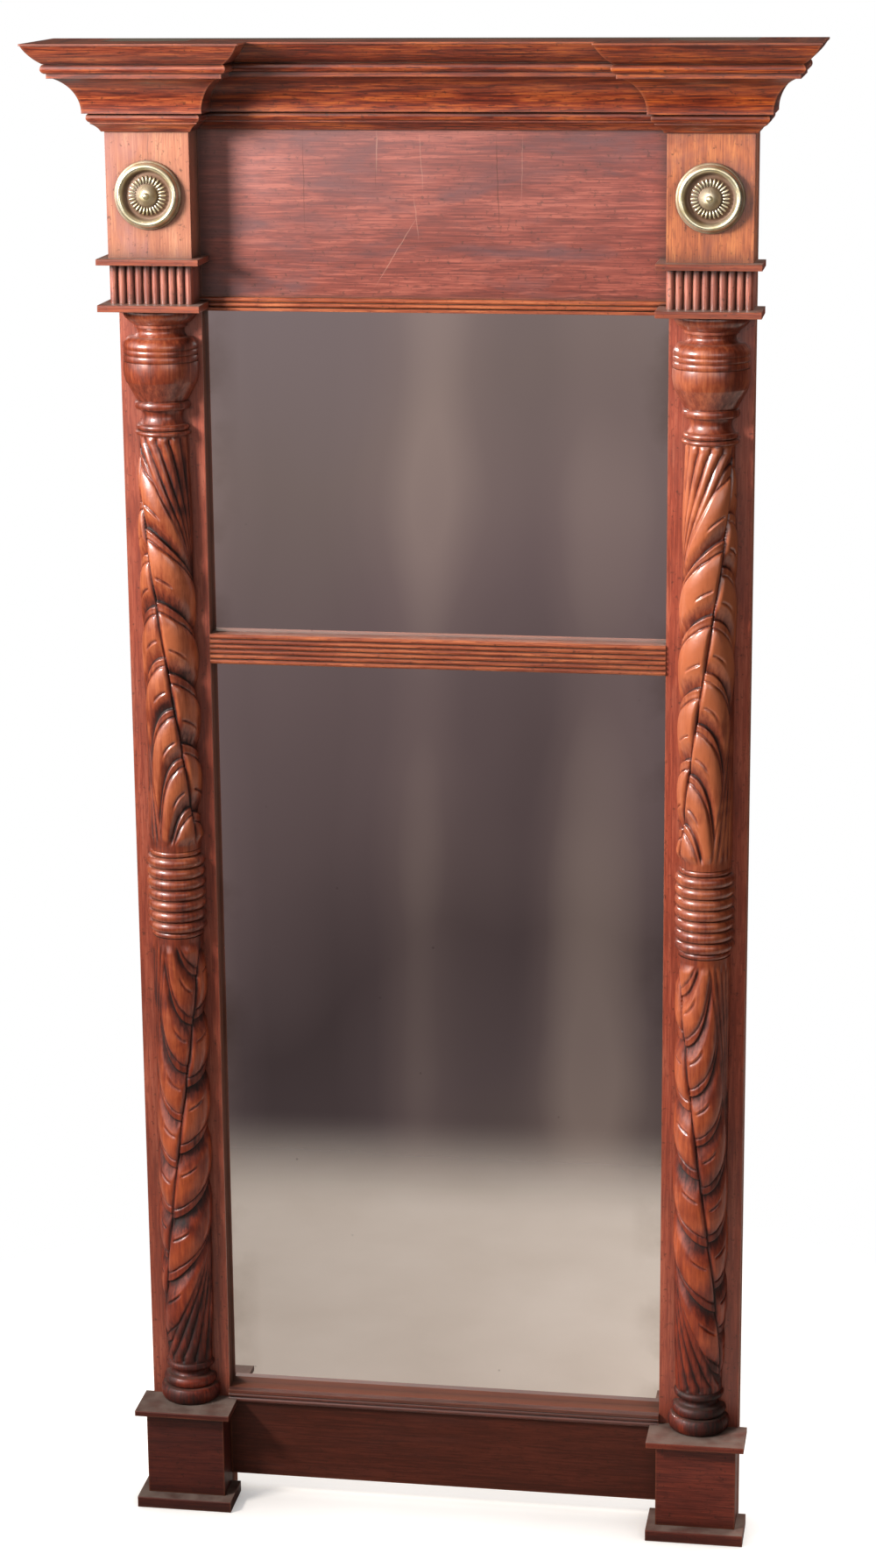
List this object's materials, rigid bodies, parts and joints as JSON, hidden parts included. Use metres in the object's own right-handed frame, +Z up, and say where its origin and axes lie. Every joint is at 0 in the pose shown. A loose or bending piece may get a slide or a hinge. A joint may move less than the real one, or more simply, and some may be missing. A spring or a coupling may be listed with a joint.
{
  "type": "wall mirror",
  "caption": "Federal style mahogany wall mirror with carved half columns, brass rosettes, a break-front cornice and a small plate over a tall one.",
  "frame": {"origin": "on the wall plane, on the mirror's centre line, level with the pivots of the two hanging rings", "axes": "+X to the viewer's right, +Y from the viewer into the wall, +Z up"},
  "size_m": [0.577, 0.1029, 1.17],
  "materials": {
    "mahogany": "glossy aged shellac",
    "mahogany_veneer": "glossy aged shellac",
    "carved_mahogany": "glossy aged shellac, dark in the cuts",
    "pine": "bare, darkened with age",
    "stamped_brass": "polished, worn, dark in the recesses",
    "hanger_brass": "dull",
    "mirror_plate": "old silvered plate",
    "iron": "dark oxidised"
  },
  "bodies": {
    "mirror": {"backboard_nails": "iron", "bottom_rail": "pine", "column_left": "carved_mahogany", "column_right": "carved_mahogany", "cornice_centre": "mahogany", "cornice_core_left": "pine", "cornice_core_right": "pine", "cornice_front_left": "mahogany", "cornice_front_right": "mahogany", "cornice_return_left": "mahogany", "cornice_return_right": "mahogany", "cornice_side_left": "mahogany", "cornice_side_right": "mahogany", "divider_bar": "mahogany", "dust_board": "pine", "frieze_bead": "mahogany", "frieze_block_left": "mahogany", "frieze_block_right": "mahogany", "frieze_veneer": "mahogany_veneer", "glazing_strips": "pine", "hanger_screws": "iron", "hanger_strap_left": "hanger_brass", "hanger_strap_right": "hanger_brass", "lower_backboard": "pine", "lower_mirror": "mirror_plate", "lower_plate_left": "mahogany", "lower_plate_right": "mahogany", "plinth_base_left": "mahogany", "plinth_base_right": "mahogany", "plinth_block_left": "mahogany", "plinth_block_right": "mahogany", "plinth_cap_left": "mahogany", "plinth_cap_right": "mahogany", "rail_veneer": "mahogany_veneer", "reeded_block_left": "mahogany", "reeded_block_right": "mahogany", "rosette_left": "stamped_brass", "rosette_pin_left": "stamped_brass", "rosette_pin_right": "stamped_brass", "rosette_right": "stamped_brass", "sill_bead": "mahogany", "stile_left": "pine", "stile_right": "pine", "stile_veneer_left": "mahogany_veneer", "stile_veneer_right": "mahogany_veneer", "top_rail": "pine", "upper_backboard": "pine", "upper_mirror": "mirror_plate", "upper_plate_left": "mahogany", "upper_plate_right": "mahogany"},
    "ring_left": {"hanger_ring_left": "hanger_brass"},
    "ring_right": {"hanger_ring_right": "hanger_brass"}
  },
  "joints": [
    {"name": "ring_left_swing", "type": "hinge", "parent": "mirror", "child": "ring_left", "pos_m": [-0.20775, -0.0032, 0], "axis": [1, 0, 0], "range_deg": [0, 180]},
    {"name": "ring_right_swing", "type": "hinge", "parent": "mirror", "child": "ring_right", "pos_m": [0.20775, -0.0032, 0], "axis": [1, 0, 0], "range_deg": [0, 180]}
  ]
}
